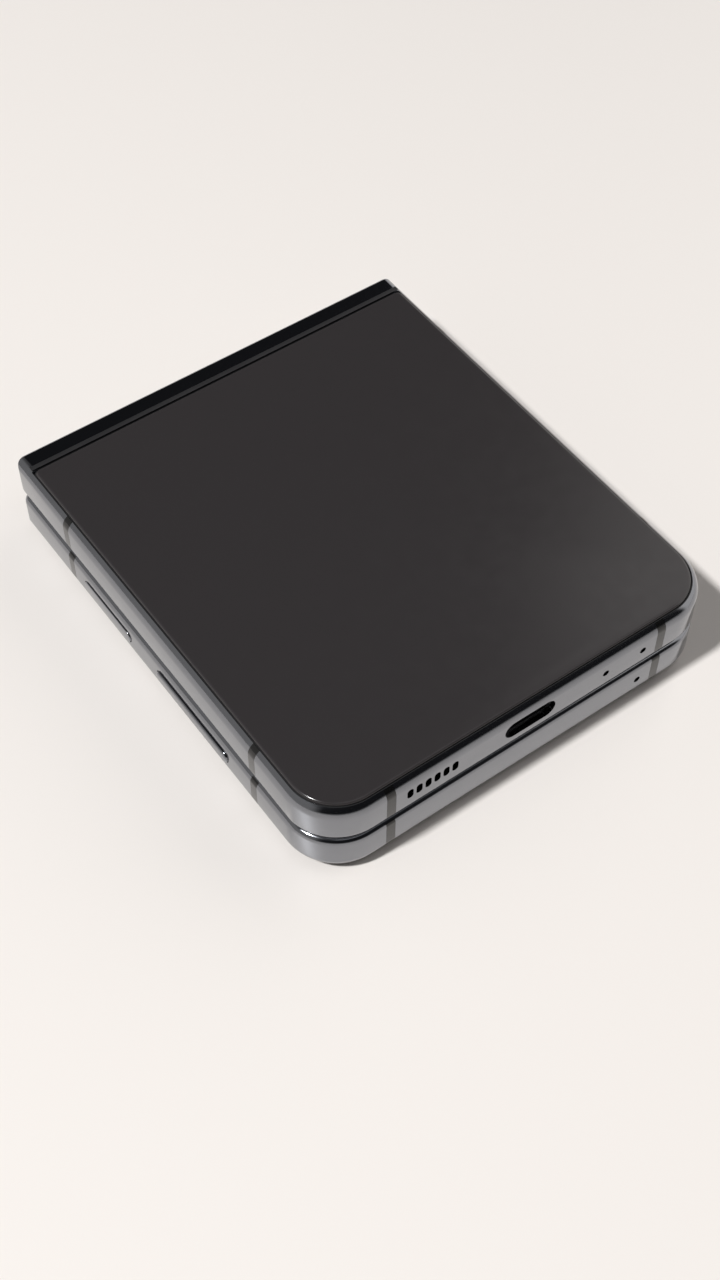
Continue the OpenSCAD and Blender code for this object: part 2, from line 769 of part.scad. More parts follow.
// Half of the loop that the display makes when shut: an S from the flat part out to the loop's
// radius, then a quarter turn, as points at distance off from its middle layer
loop_steps = 8;
function loop_mid(off) = concat(
    [for (k = [0:loop_steps]) let (t = k / loop_steps)
        [bend_u + t * (-loop_back - bend_u),
            display_face + display_t / 2 + off
                + (loop_r - display_face - display_t / 2) * (1 - cos(180 * t)) / 2]],
    [for (k = [1:loop_steps]) let (a = 90 * (1 - k / loop_steps))
        [-loop_back + (loop_r + off) * cos(a), max(touch / 2, (loop_r + off) * sin(a))]]);

module fold_screen() {
    outer = loop_mid(display_t / 2);
    inner = loop_mid(-display_t / 2);
    along_x(-screen_half, screen_half)
        polygon(concat(outer, [for (k = [len(inner) - 1:-1:0]) inner[k]]));
}

module fold_screen_cover() { color(dark_glass) cover_side() fold_screen(); }
module fold_screen_base() { color(dark_glass) base_side() fold_screen(); }

// ---- hinge ----

gear_pitch = 2 * axis_h * 2 / 3;          // distance between meshing gears
gear_module = gear_pitch / gear_teeth;
idler_w = gear_pitch / 2;                 // idlers' height over the closing plane
idler_u = sqrt(gear_pitch * gear_pitch - pow(axis_h - idler_w, 2));
tip_r = gear_pitch / 2 + 0.8 * gear_module;
root_r = gear_pitch / 2 - gear_module;
base_r = gear_pitch / 2 * cos(gear_pressure);
flank_steps = 3;

// Angle on an involute between the base circle and radius r
function involute(r) = r <= base_r ? 0 : tan(acos(base_r / r)) * 180 / PI - acos(base_r / r);
// Half the angle that a tooth fills at radius r
function tooth_half(r) = 90 / gear_teeth - gear_backlash / gear_pitch * 180 / PI
    + involute(gear_pitch / 2) - involute(r);
// Radii of the points along one flank
function flank(k) = k == 0 ? root_r : base_r + (tip_r - base_r) * (k - 1) / flank_steps;
// Tooth angle of a gear that meshes, towards angle d, with a gear whose tooth stands at angle p
function mesh_phase(p, d) = 2 * d + 180 + 180 / gear_teeth - p;

lower_idler_phase = 90;
upper_idler_phase = -90 + 180 / gear_teeth;

module gear_outline(phase) {
    polygon([for (t = [0:gear_teeth - 1]) for (s = [-1, 1]) for (k = [0:flank_steps + 1])
        let (i = s < 0 ? k : flank_steps + 1 - k, r = flank(i),
            a = phase + t * 360 / gear_teeth + s * tooth_half(max(r, base_r)))
        [r * cos(a), r * sin(a)]]);
}

spine_tip_w = 6.1;                        // height at which the arc passes the halves' end
tip_u = plate_top - axis_h + 0.15;        // open hinge plates pass below the spine's edges

// Region that the spine may fill, shrunk by inset: inside its own arc and inside one of the hollows
module spine_section(inset) {
    top_w = axis_h + recess_r - spine_gap;                 // where the arc meets the hollow's edge
    back_u = axis_h + spine_proud;
    arc_r = (pow(back_u - axis_h, 2) + pow(spine_tip_w, 2)) / (2 * (back_u - axis_h));
    intersection() {
        translate([back_u - arc_r, 0]) circle(arc_r - inset);
        union() for (s = [-1, 1])
            translate([0, s * axis_h]) circle(recess_r - spine_gap - inset);
        translate([tip_u, -top_w]) square([back_u, 2 * top_w]);
    }
}

foot_screws = [for (m = [-1, 1], k = [-1, 1]) m * module_x + k * (knuckle_half + ear_gap + ear_t + 1.6)];
back_u_in = axis_h + spine_proud - spine_wall;

module hinge_spine() {
    color(graphite) base_side() difference() {
        along_x(-spine_half, spine_half) spine_section(0);
        along_x(-spine_half + 0.6, spine_half - 0.6) spine_section(spine_wall);
        block([-spine_half + 0.6, y_axis + tip_u - past, -axis_h - recess_r],
            [spine_half - 0.6, y_axis + tip_u + 0.5, axis_h + recess_r - 1.6]);
        for (x = foot_screws) translate([x, y_axis, 0]) rotate([-90, 0, 0])
            cylinder(h = back_u_in + 0.3, r = shank_r - 0.03);
    }
}

// One bracket in the spine: two ears joined by bars, with a screwed foot at each end
module bracket(x) {
    e0 = knuckle_half + ear_gap;
    e1 = e0 + ear_t;
    difference() {
        union() {
            for (m = [0, 1]) translate([x, 0, 0]) mirror([m, 0, 0]) {
                along_x(e0, e1) intersection() {
                    spine_section(spine_wall + touch);
                    translate([tip_u, -4.6]) square([9, 9.2]);
                }
                along_x(e0, e1) translate([-trim_w, -3.1]) square([tip_u + trim_w + 0.6, 6.2]);
                along_x(e0, e1 + 3) intersection() {
                    spine_section(spine_wall + touch);
                    translate([back_u_in - 1, -1.5]) square([2, 3]);
                }
            }
            for (s = [-1, 1]) along_x(x - e1, x + e1)
                translate([1.75, s * 3.25 - 0.35]) square([1.1, 0.7]);
        }
        for (s = [-1, 1]) {
            along_x(x - e1 - past, x + e1 + past) translate([0, s * axis_h]) circle(pin_r + pin_gap);
            along_x(x - e1 - past, x + e1 + past) translate([idler_u, s * idler_w])
                circle(pin_r + pin_gap);
        }
    }
}

module hinge_brackets() {
    color(steel) base_side() difference() {
        union() for (m = [-1, 1]) bracket(m * module_x);
        for (x = foot_screws) translate([x, y_axis, 0]) rotate([-90, 0, 0])
            cylinder(h = 9, r = shank_r);
    }
}

spring_len = spring_discs * spring_pitch;
pin_end = knuckle_half + ear_gap + ear_t;

// Pins, with their heads outboard of the disc springs
module hinge_pins() {
    color(steel) base_side() for (m = [0, 1], s = [-1, 1]) mirror([m, 0, 0]) {
        along_x(module_x - pin_end - 0.3, module_x + pin_end + spring_len + 0.2)
            translate([0, s * axis_h]) circle(pin_r);
        along_x(module_x + pin_end + spring_len + 0.1, module_x + pin_end + spring_len + 0.6)
            translate([0, s * axis_h]) intersection() {
                circle(0.95);
                translate([-trim_w, -2]) square([4, 4]);
            }
    }
}

// Stack of coned discs on each pin, which hold the hinge at any angle
module disc_springs() {
    color(steel) base_side() for (m = [0, 1], s = [-1, 1], k = [0:spring_discs - 1])
        mirror([m, 0, 0])
            translate([module_x + pin_end + 0.03 + k * spring_pitch, y_axis, s * axis_h]) difference() {
                translate([spring_pitch / 2, 0, 0]) rotate([0, k % 2 == 0 ? 90 : -90, 0])
                    translate([0, 0, -spring_pitch / 2]) rotate_extrude()
                        polygon([[pin_r + touch, 0.13], [pin_r + touch, spring_pitch - 0.06],
                            [0.62, spring_pitch - 0.06 - 0.01], [0.62, 0.01]]);
                translate([-past, -9 - trim_w, -5]) cube([3, 9, 10]);
            }
}

module bracket_screws() {
    color(steel) base_side() for (x = foot_screws)
        translate([x, y_axis + back_u_in - 1 - touch, 0]) rotate([-90, 0, 0])
            screw(0.9, 0.4, shank_r - 0.05, 1.25);
}

// Timing gear between the wings, on a journal that turns in the bracket's ears
module idler(phase, w) {
    for (m = [-1, 1]) {
        along_x(m * module_x - gear_w / 2, m * module_x + gear_w / 2) translate([idler_u, w])
            gear_outline(phase);
        along_x(m * module_x - pin_end, m * module_x + pin_end) translate([idler_u, w]) circle(pin_r);
    }
}

module idler_gear_lower() { color(copper) base_side() idler(lower_idler_phase, -idler_w); }
module idler_gear_upper() { color(copper) base_side() idler(upper_idler_phase, idler_w); }

plate_screw_x = [4.3 - plate_half, 0, plate_half - 4.3];
plate_screw_u = [-14.4, -9.4];
counterbore = 0.7;                        // depth of the plate screws' seats

module plate_screw_places() {
    for (x = plate_screw_x, u = plate_screw_u) translate([x, y_axis + u, 0]) children();
}

// Plate that carries the display next to the fold, with an arm, a knuckle and a gear at each
// module. It is drawn for the base half, so the gear's phase is given in that half's view.
module hinge_plate(phase) {
    thick_u = bend_u - 0.5;
    difference() {
        union() {
            block([-plate_half, y_axis - plate_reach, shelf + touch],
                [plate_half, y_axis + thick_u, plate_top]);
            block([-plate_half, y_axis + thick_u - past, plate_top - arm_t],
                [plate_half, y_axis - recess_r - 0.1, plate_top]);
            for (m = [-1, 1]) {
                x0 = m * module_x - knuckle_half;
                x1 = m * module_x + knuckle_half;
                mid0 = m * module_x - gear_w / 2 - 0.3;
                mid1 = m * module_x + gear_w / 2 + 0.3;
                block([x0, y_axis - recess_r - past, plate_top - arm_t], [x1, y_axis - 0.7, plate_top]);
                difference() {
                    along_x(x0, x1) translate([0, axis_h]) union() {
                        circle(knuckle_r);
                        translate([-knuckle_r, plate_top - axis_h - arm_t])
                            square([knuckle_r, arm_t]);
                    }
                    along_x(mid0, mid1) translate([root_r * -0.5, axis_h - 4]) square([8, 8]);
                }
                along_x(mid0, mid1) intersection() {
                    translate([0, axis_h]) gear_outline(phase);
                    translate([-tip_r, axis_h - trim_w]) square([4, 8]);
                }
            }
        }
        along_x(-plate_half, plate_half) translate([-2, axis_h - 4]) square([9, 4 - trim_w]);
        for (m = [-1, 1]) along_x(m * module_x - 9, m * module_x + 9)
            translate([0, axis_h]) circle(pin_r + pin_gap);
        plate_screw_places() {
            cylinder(h = 5, r = shank_r + 0.1);
            translate([0, 0, shelf - past]) cylinder(h = past + counterbore, r = 1.2);
        }
    }
}

lower_meet = -atan2(axis_h - idler_w, idler_u); // direction from the wing's axis to its idler
wing_phase_base = mesh_phase(upper_idler_phase, 180 + lower_meet);
wing_phase_cover = -mesh_phase(lower_idler_phase, 180 - lower_meet);

module hinge_plate_base() { color(steel) base_side() hinge_plate(wing_phase_base); }
module hinge_plate_cover() { color(steel) cover_side() hinge_plate(wing_phase_cover); }

module plate_screws() {
    plate_screw_places() translate([0, 0, shelf + counterbore - touch])
        screw(1.1, 0.4, shank_r, rib_top - shelf - counterbore);
}

module plate_screws_base() { color(steel) base_side() plate_screws(); }
module plate_screws_cover() { color(steel) cover_side() plate_screws(); }

// ---- base half's electronics ----

cell_y0 = y_free + 17.35;
cell_y1 = cavity_y - 0.4;

module base_battery() {
    color(cell_silver) base_side() {
        block([0.75 - x_wall, cell_y0, board_w], [x_wall - 0.75, cell_y1, cell_top]);
        block([-6, cavity_y - past, rib_top + bay], [6, cavity_y + 3.5, 4.4]);
    }
}

coil_y = (cell_y0 + cell_y1) / 2;
coil_out = (cell_y1 - cell_y0) / 2 - 2;
coil_in = 10.5;

module charging_coil() {
    color(copper) base_side() translate([0, coil_y, cell_top + bay]) difference() {
        cylinder(h = panel_out - cell_top - bay, r = coil_out);
        translate([0, 0, -past]) cylinder(h = 3, r = coil_in);
        for (r = [coil_in + 2:2:coil_out - 1]) translate([0, 0, 0.35])
            difference() { cylinder(h = 3, r = r + 0.2); cylinder(h = 9, r = r - 0.2, center = true); }
    }
}

usb_len = 7;
usb_y0 = y_wall - 1.2;
usb_wall = 0.25;

module sub_board() {
    color(board_green) base_side() difference() {
        block([-10.2, y_wall + 0.2, board_w], [mic_b_x + 3.2, y_free + 16.75, board_w + board_t]);
        block([-usb_w / 2 - 0.2, y_free, 0], [usb_w / 2 + 0.2, usb_y0 + usb_len + 0.2, 9]);
        for (b = base_boss) translate([b[0], b[1], 0]) cylinder(h = 9, r = boss_r + 0.1);
    }
}

module usb_shell() {
    color(steel) base_side() translate([0, 0, port_w]) difference() {
        stadium_y(usb_w - 0.1, usb_h - 0.1, usb_y0, usb_y0 + usb_len);
        stadium_y(usb_w - 0.1 - 2 * usb_wall, usb_h - 0.1 - 2 * usb_wall, usb_y0 - past,
            usb_y0 + usb_len - 0.6);
    }
}

module usb_tongue() {
    color(black_plastic) base_side() translate([0, 0, port_w])
        block([-3.35, usb_y0 + 0.9, -0.35], [3.35, usb_y0 + usb_len - 0.6 - touch, 0.35]);
}

module loudspeaker() {
    color(black_plastic) base_side() difference() {
        block([5.15 - x_wall, y_wall + 0.2, board_w], [slots_x + 6.24, y_free + 13.15, cell_top]);
        translate([slots_x, 0, port_w]) block([-5.5, y_wall - past, -1.2], [5.5, y_wall + 2, 1.2]);
    }
}

module vibration_motor() {
    color(steel) base_side() translate([x_wall - 5.15, y_free + 9.15, board_w])
        cylinder(h = 3.4, r = 4);
}

module base_microphones() {
    color(steel) base_side() for (x = [mic_a_x, mic_b_x]) microphone(x, parts_w);
}

module base_bracket() {
    low = base_boss_top + touch;
    color(black_plastic) base_side() difference() {
        block([1.35 - x_wall, y_free + 13.55, low], [x_wall - 1.35, y_free + 16.95, low + bracket_t]);
        for (b = base_boss) translate([b[0], b[1], 0]) cylinder(h = 9, r = shank_r + 0.1);
    }
}

module base_bracket_screws() {
    color(steel) base_side() screws_at(base_boss, base_boss_top + bracket_t + touch, 3.4);
}

cover_frame();
cover_antenna_strips();
cover_glass();
cover_display_panel();
lens_rings();
lens_glasses();
main_camera();
wide_camera();
flash_unit();
main_board();
board_shields();
cover_battery();
earpiece();
selfie_camera();
cover_microphone();
cover_bracket();
cover_bracket_screws();
cover_magnets();
cover_bezel();
sim_reader();
sim_tray();
sim_card();
key_switches();
power_key();
volume_key();
cover_screen();
fold_screen_cover();
hinge_plate_cover();
plate_screws_cover();
hinge_spine();
hinge_brackets();
hinge_pins();
disc_springs();
bracket_screws();
idler_gear_lower();
idler_gear_upper();
base_frame();
base_antenna_strips();
base_glass();
base_battery();
charging_coil();
sub_board();
usb_shell();
usb_tongue();
loudspeaker();
vibration_motor();
base_microphones();
base_bracket();
base_bracket_screws();
base_magnets();
base_bezel();
base_screen();
fold_screen_base();
hinge_plate_base();
plate_screws_base();
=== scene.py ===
import json
import math

import bmesh
import bpy
import numpy as np
from mathutils import Matrix, Vector


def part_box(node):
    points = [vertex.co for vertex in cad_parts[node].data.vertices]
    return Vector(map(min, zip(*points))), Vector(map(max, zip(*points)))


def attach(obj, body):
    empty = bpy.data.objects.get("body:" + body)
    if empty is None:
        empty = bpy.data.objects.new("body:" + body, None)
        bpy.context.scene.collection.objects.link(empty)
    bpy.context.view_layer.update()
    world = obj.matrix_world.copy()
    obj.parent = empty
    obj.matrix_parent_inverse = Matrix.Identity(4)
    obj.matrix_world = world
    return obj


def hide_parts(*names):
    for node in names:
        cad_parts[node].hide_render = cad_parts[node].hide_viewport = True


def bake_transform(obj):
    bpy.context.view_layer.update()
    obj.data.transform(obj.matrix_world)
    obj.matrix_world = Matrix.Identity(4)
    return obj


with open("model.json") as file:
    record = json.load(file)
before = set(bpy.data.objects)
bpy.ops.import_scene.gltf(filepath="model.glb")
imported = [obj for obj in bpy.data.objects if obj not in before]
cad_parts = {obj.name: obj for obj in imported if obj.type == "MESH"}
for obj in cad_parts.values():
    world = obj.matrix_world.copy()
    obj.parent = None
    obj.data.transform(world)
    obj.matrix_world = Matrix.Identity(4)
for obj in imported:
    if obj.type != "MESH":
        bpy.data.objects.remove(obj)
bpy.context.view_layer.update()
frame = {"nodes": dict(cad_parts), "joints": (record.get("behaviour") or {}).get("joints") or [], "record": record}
mm = 0.001

# Where the phone's faces lie, read from the frame. Heights w are measured from the closing plane,
# midway between the two screens, up into the base half and down into the cover half.
frameLow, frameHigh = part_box("base_frame")
closing = (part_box("base_screen")[0].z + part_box("cover_screen")[1].z) / 2
axisY = frame["joints"][0]["pos_m"][1]
axisW = closing - frame["joints"][0]["pos_m"][2]
sideX = frameHigh.x
freeY = frameLow.y
print("frame loaded, closing plane at", round(closing / mm, 3), "mm")


def meshFromGrid(name, points, closeAcross=False, closeAlong=False, caps=False):
    # points[i, j] is a grid of two parameters; each cell's four corners make a face, i or j
    # wraps round where it is closed, and caps fill the first and the last row with one face each
    rows, columns = points.shape[:2]
    index = np.arange(rows * columns).reshape(rows, columns)
    if closeAcross:
        index = np.concatenate([index, index[:, :1]], 1)
    if closeAlong:
        index = np.concatenate([index, index[:1]], 0)
    faces = np.stack([index[:-1, :-1], index[:-1, 1:], index[1:, 1:], index[1:, :-1]], -1)
    faces = faces.reshape(-1, 4).tolist()
    if caps:
        faces.append(np.arange(columns)[::-1].tolist())
        faces.append(((rows - 1) * columns + np.arange(columns)).tolist())
    mesh = bpy.data.meshes.new(name)
    mesh.from_pydata(points.reshape(-1, 3).tolist(), [], faces)
    piece = bpy.data.objects.new(name, mesh)
    bpy.context.scene.collection.objects.link(piece)
    return piece


def tidyMesh(piece, sharpAngle=32, mergeBelow=1e-7):
    # merges doubles, turns every face out, and smooths all edges below the sharp angle
    mesh = piece.data
    work = bmesh.new()
    work.from_mesh(mesh)
    bmesh.ops.remove_doubles(work, verts=work.verts, dist=mergeBelow)
    bmesh.ops.recalc_face_normals(work, faces=work.faces)
    limit = math.radians(sharpAngle)
    for edge in work.edges:
        edge.smooth = len(edge.link_faces) == 2 and edge.calc_face_angle(0) < limit
    for face in work.faces:
        face.smooth = True
    work.to_mesh(mesh)
    work.free()
    return piece


def joined(name, pieces):
    # one object from several, all at the origin
    work = bmesh.new()
    for piece in pieces:
        work.from_mesh(piece.data)
        bpy.data.objects.remove(piece)
    mesh = bpy.data.meshes.new(name)
    work.to_mesh(mesh)
    work.free()
    whole = bpy.data.objects.new(name, mesh)
    bpy.context.scene.collection.objects.link(whole)
    return whole


def roundedOutline(halfX, halfY, radii, inset, perCorner):
    # rectangle with a radius at each corner, moved inwards by inset: on each corner's arc
    # x = cx + r cos a, y = cy + r sin a, with r the radius less the inset
    leastRadius = 0.02 * mm
    spots = []
    for turn, radius in enumerate(radii):
        a = np.radians(np.linspace(90 * turn, 90 * turn + 90, perCorner))
        signX = 1 if turn in (0, 3) else -1
        signY = 1 if turn in (0, 1) else -1
        r = max(radius - inset, leastRadius)
        reach = max(radius, inset + leastRadius)
        spots.append(np.stack([signX * (halfX - reach) + r * np.cos(a),
                               signY * (halfY - reach) + r * np.sin(a)], -1))
    return np.concatenate(spots)


def outlineRows(centre, halfX, halfY, radii, rings, perCorner):
    # one outline per ring, each moved in by the ring's first value and at the height of its second
    rows = [np.column_stack([roundedOutline(halfX, halfY, radii, inset, perCorner),
                             np.full(4 * perCorner, height)]) for inset, height in rings]
    return np.array(rows) + np.array([centre[0], centre[1], 0])


def quarterEdge(width, height, steps):
    # quarter of an ellipse as (inset, depth below the top), from the wall to the face:
    # inset = width (1 - cos a), depth = height (1 - sin a)
    a = np.linspace(0, np.pi / 2, steps)
    return list(zip(width * (1 - np.cos(a)), height * (1 - np.sin(a))))


def turnedGrid(centre, profile, steps):
    # profile of (radius, z) turned round the vertical through centre:
    # x = cx + r cos a, y = cy + r sin a
    a = np.linspace(0, 2 * np.pi, steps, endpoint=False)
    r, z = np.array(profile).T
    return np.stack([centre[0] + r[:, None] * np.cos(a), centre[1] + r[:, None] * np.sin(a),
                     np.repeat(z[:, None], steps, 1)], -1)


def turnedPair(name, low, high, profile, steps, closeAlong=False):
    # one turned piece at each end in X of a box that they fill from front to back
    radius = (high.y - low.y) / 2
    pair = []
    for x in (low.x + radius, high.x - radius):
        grid = turnedGrid((x, (low.y + high.y) / 2), profile, steps)
        pair.append(tidyMesh(meshFromGrid(name, grid, closeAcross=True, closeAlong=closeAlong)))
    return joined(name, pair)


def startMaterial(name):
    material = bpy.data.materials.new(name)
    material.use_nodes = True
    tree = material.node_tree
    shader = tree.nodes["Principled BSDF"]
    coords = tree.nodes.new("ShaderNodeTexCoord")
    return material, tree, shader, coords.outputs["Object"]


def noiseNode(tree, vector, scale, detail=3.0):
    noise = tree.nodes.new("ShaderNodeTexNoise")
    noise.inputs["Scale"].default_value = scale
    noise.inputs["Detail"].default_value = detail
    tree.links.new(vector, noise.inputs["Vector"])
    return noise.outputs["Fac"]


noiseLow, noiseHigh = 0.3, 0.7   # nearly all of the noise lies between these


def rangeNode(tree, value, low, high):
    node = tree.nodes.new("ShaderNodeMapRange")
    node.inputs["From Min"].default_value = noiseLow
    node.inputs["From Max"].default_value = noiseHigh
    node.inputs["To Min"].default_value = low
    node.inputs["To Max"].default_value = high
    tree.links.new(value, node.inputs["Value"])
    return node.outputs["Result"]


def mixColour(tree, factor, first, second):
    node = tree.nodes.new("ShaderNodeMix")
    node.data_type = "RGBA"
    node.inputs["A"].default_value = (*first, 1)
    node.inputs["B"].default_value = (*second, 1)
    tree.links.new(factor, node.inputs["Factor"])
    return node.outputs["Result"]


def bumpNode(tree, height, strength, distance):
    node = tree.nodes.new("ShaderNodeBump")
    node.inputs["Strength"].default_value = strength
    node.inputs["Distance"].default_value = distance
    tree.links.new(height, node.inputs["Height"])
    return node.outputs["Normal"]


finishes = {
    # colour low, colour high, metallic, roughness low, roughness high, grain per metre, bump
    "frame_metal": ((0.24, 0.248, 0.268), (0.255, 0.263, 0.283), 1.0, 0.11, 0.15, 9000, 0.0),
    "back_glass": ((0.031, 0.028, 0.029), (0.033, 0.030, 0.031), 0.0, 0.14, 0.2, 400, 0.0),
    "lens_glass": ((0.004, 0.004, 0.006), (0.007, 0.007, 0.010), 0.0, 0.02, 0.04, 600, 0.0),
    "strip_plastic": ((0.003, 0.003, 0.003), (0.005, 0.005, 0.005), 0.0, 0.1, 0.13, 7000, 0.0),
    "satin_metal": ((0.105, 0.105, 0.11), (0.12, 0.12, 0.125), 1.0, 0.42, 0.5, 12000, 0.04),
    "bezel_plastic": ((0.008, 0.008, 0.009), (0.014, 0.014, 0.015), 0.0, 0.45, 0.6, 6000, 0.08),
    "screen": ((0.004, 0.004, 0.005), (0.006, 0.006, 0.007), 0.0, 0.06, 0.10, 300, 0.0),
    "black_plastic": ((0.010, 0.010, 0.011), (0.018, 0.018, 0.02), 0.0, 0.4, 0.55, 5000, 0.06),
    "steel": ((0.52, 0.53, 0.55), (0.6, 0.61, 0.63), 1.0, 0.22, 0.36, 5000, 0.05),
    "board": ((0.012, 0.07, 0.045), (0.03, 0.13, 0.08), 0.0, 0.35, 0.5, 900, 0.08),
    "cell": ((0.24, 0.25, 0.27), (0.34, 0.35, 0.37), 0.6, 0.3, 0.45, 700, 0.1),
    "copper": ((0.66, 0.33, 0.16), (0.78, 0.45, 0.24), 1.0, 0.25, 0.4, 4000, 0.05),
    "flash": ((0.8, 0.74, 0.42), (0.9, 0.84, 0.55), 0.0, 0.15, 0.25, 3000, 0.1),
    "card": ((0.8, 0.77, 0.66), (0.86, 0.83, 0.72), 0.0, 0.4, 0.5, 2500, 0.05),
}
sheen = {"strip_plastic": 0.6}   # specular level where it isn't the usual 0.5
broadening = 60                  # the colour's noise is this many times coarser than the grain
bumpDepth = 0.02 * mm


def slotMaterial(slot):
    # colour and roughness wander a little between their two ends with noise, and so does the
    # surface where the finish has a bump
    low, high, metallic, roughLow, roughHigh, grain, bump = finishes[slot]
    material, tree, shader, spot = startMaterial(slot)
    fine = noiseNode(tree, spot, grain)
    broad = noiseNode(tree, spot, grain / broadening, detail=2.0)
    tree.links.new(mixColour(tree, rangeNode(tree, broad, 0, 1), low, high), shader.inputs["Base Color"])
    tree.links.new(rangeNode(tree, fine, roughLow, roughHigh), shader.inputs["Roughness"])
    shader.inputs["Metallic"].default_value = metallic
    if slot in sheen:
        shader.inputs["Specular IOR Level"].default_value = sheen[slot]
    if bump:
        tree.links.new(bumpNode(tree, fine, bump, bumpDepth), shader.inputs["Normal"])
    return material


materials = {slot: slotMaterial(slot) for slot in finishes}
slotOf = {part["node"]: part["material_slot"] for part in frame["record"]["subparts"]}
finishOrPaintedShadeOf = {**slotOf, "usb_shell": "bezel_plastic"}   # the steel shell is drawn in black plastic: painted shade inside the port's mouth


def dress(piece, slot):
    piece.data.materials.clear()
    piece.data.materials.append(materials[slot])


weldBelow = 0.001 * mm
crispAbove = math.radians(24)


def finishNode(node):
    # CAD nodes keep their mesh: a weld and an edge split give round faces smooth shading
    piece = frame["nodes"][node]
    # the USB shell takes black plastic in place of its steel: painted shade inside the port
    dress(piece, finishOrPaintedShadeOf[node])
    piece.data.polygons.foreach_set("use_smooth", np.ones(len(piece.data.polygons), bool))
    weld = piece.modifiers.new("weld", "WELD")
    weld.merge_threshold = weldBelow
    split = piece.modifiers.new("crispEdges", "EDGE_SPLIT")
    split.split_angle = crispAbove


for node in frame["nodes"]:
    finishNode(node)
print("materials set on", len(frame["nodes"]), "nodes")


def place(piece, body, slot, *nodes):
    dress(piece, slot)
    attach(piece, body)
    if nodes:
        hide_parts(*nodes)


def heightOf(side, w):
    # height above the table of a face at distance w from the closing plane, side 1 for the
    # base half above it and -1 for the cover half below it
    return closing + side * w


glassSettings = {
    "gap": 0.2 * mm,           # dark joint between the glass and the frame, beyond the CAD's own
    "edgeWidth": 0.45 * mm,    # rounded edge, across and down
    "edgeDrop": 0.35 * mm,
    "edgeSteps": 9,
    "footInset": 0.15 * mm,    # chamfer round the underside
    "footRise": 0.06 * mm,
    "cornerFree": 7.45 * mm,
    "cornerHinge": 0.95 * mm,
    "perCorner": 28,
}


def makeBaseGlass(settings):
    low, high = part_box("base_glass")
    gap = settings["gap"]
    halfX = (high.x - low.x) / 2 - gap
    halfY = (high.y - low.y) / 2 - gap
    edge = quarterEdge(settings["edgeWidth"], settings["edgeDrop"], settings["edgeSteps"])
    rings = [(settings["footInset"], low.z), (0.0, low.z + settings["footRise"])]
    rings += [(inset, high.z - depth) for inset, depth in edge]
    radii = [settings["cornerHinge"]] * 2 + [settings["cornerFree"]] * 2
    rows = outlineRows((0, (low.y + high.y) / 2), halfX, halfY, radii, rings, settings["perCorner"])
    glass = tidyMesh(meshFromGrid("baseBackGlass", rows, closeAcross=True, caps=True))
    place(glass, "base_half", "back_glass", "base_glass")


trimSettings = {
    "halfWidth": 34.85 * mm,
    "gap": 0.14 * mm,          # from the glass's CAD edge to the trim
    "width": 0.8 * mm,
    "proud": 0.015 * mm,
    "depth": 0.1 * mm,         # how far the bead goes into the rim
    "perWidth": 9,
    "perLength": 24,
}


def makeHingeTrim(settings):
    # satin line of the rim beside the glass, towards the hinge: a low bead whose section is
    # height = proud (1 - u^2), u from -1 to 1 across its width
    rim = frameHigh.z
    u = np.linspace(-1, 1, settings["perWidth"])
    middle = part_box("base_glass")[1].y + settings["gap"] + settings["width"] / 2
    y = middle + u * settings["width"] / 2
    z = rim + settings["proud"] * (1 - u * u)
    x = np.linspace(-settings["halfWidth"], settings["halfWidth"], settings["perLength"])
    face = np.stack(np.broadcast_arrays(x[:, None], y, z), -1)
    under = face * np.array([1, 1, 0]) + np.array([0, 0, rim - settings["depth"]])
    closed = np.concatenate([face, under[:, ::-1]], 1)
    trim = tidyMesh(meshFromGrid("hingeTrim", closed, closeAcross=True, caps=True))
    place(trim, "base_half", "frame_metal")
    dress(trim, "satin_metal")


# a black ring of painted shade under the joint round the glass
jointShadeSettings = {
    "glassGap": 0.05 * mm,     # the CAD's gap round and under the glass
    "outside": 0.02 * mm,      # clearance to the metal round the glass
    "width": 0.6 * mm,
    "thick": 0.03 * mm,
    "lift": 0.01 * mm,
    "cornerFree": 7.6 * mm,
    "cornerHinge": 1.0 * mm,
    "perCorner": 20,
}


def makeJointShade(name, side, body, glassNode, settings):
    # painted shade: a black flat ring with a rectangular section under the joint round the glass, so that the
    # joint shows as a dark line
    low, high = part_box(glassNode)
    reach = settings["glassGap"] - settings["outside"]
    halfX = (high.x - low.x) / 2 + reach
    halfY = (high.y - low.y) / 2 + reach
    under = (low.z if side > 0 else high.z) - side * settings["glassGap"]
    z0 = under + side * settings["lift"]
    z1 = z0 + side * settings["thick"]
    radii = [settings["cornerHinge"]] * 2 + [settings["cornerFree"]] * 2
    rings = [(0, z0), (0, z1), (settings["width"], z1), (settings["width"], z0)]
    rows = outlineRows((0, (low.y + high.y) / 2), halfX, halfY, radii, rings, settings["perCorner"])
    ring = tidyMesh(meshFromGrid(name, rows, closeAcross=True, closeAlong=True))
    place(ring, body, "bezel_plastic")


makeBaseGlass(glassSettings)
makeJointShade("baseGlassGasket", 1, "base_half", "base_glass", jointShadeSettings)
makeJointShade("coverGlassGasket", -1, "cover_half", "cover_glass", jointShadeSettings)
makeHingeTrim(trimSettings)
print("glass and its joints made")


keySettings = {
    "flange": 0.35 * mm,       # rim behind the wall that holds the key in
    "flangeThick": 0.4 * mm,
    "nub": 0.3 * mm,           # the CAD's nub behind the flange, which isn't drawn here
    "capRadius": {"power_key": (0.22 * mm, 0.19 * mm), "volume_key": (0.5 * mm, 0.38 * mm)},
    "capSteps": 8,
    "perEnd": 24,
}


def stadiumOutline(length, height, inset, perEnd):
    # slot shape in the plane of y and z: two half circles of radius height / 2 less the inset
    r = height / 2 - inset
    a = np.radians(np.linspace(-90, 90, perEnd))
    straight = (length - height) / 2
    right = np.stack([straight + r * np.cos(a), r * np.sin(a)], -1)
    return np.concatenate([right, -right])


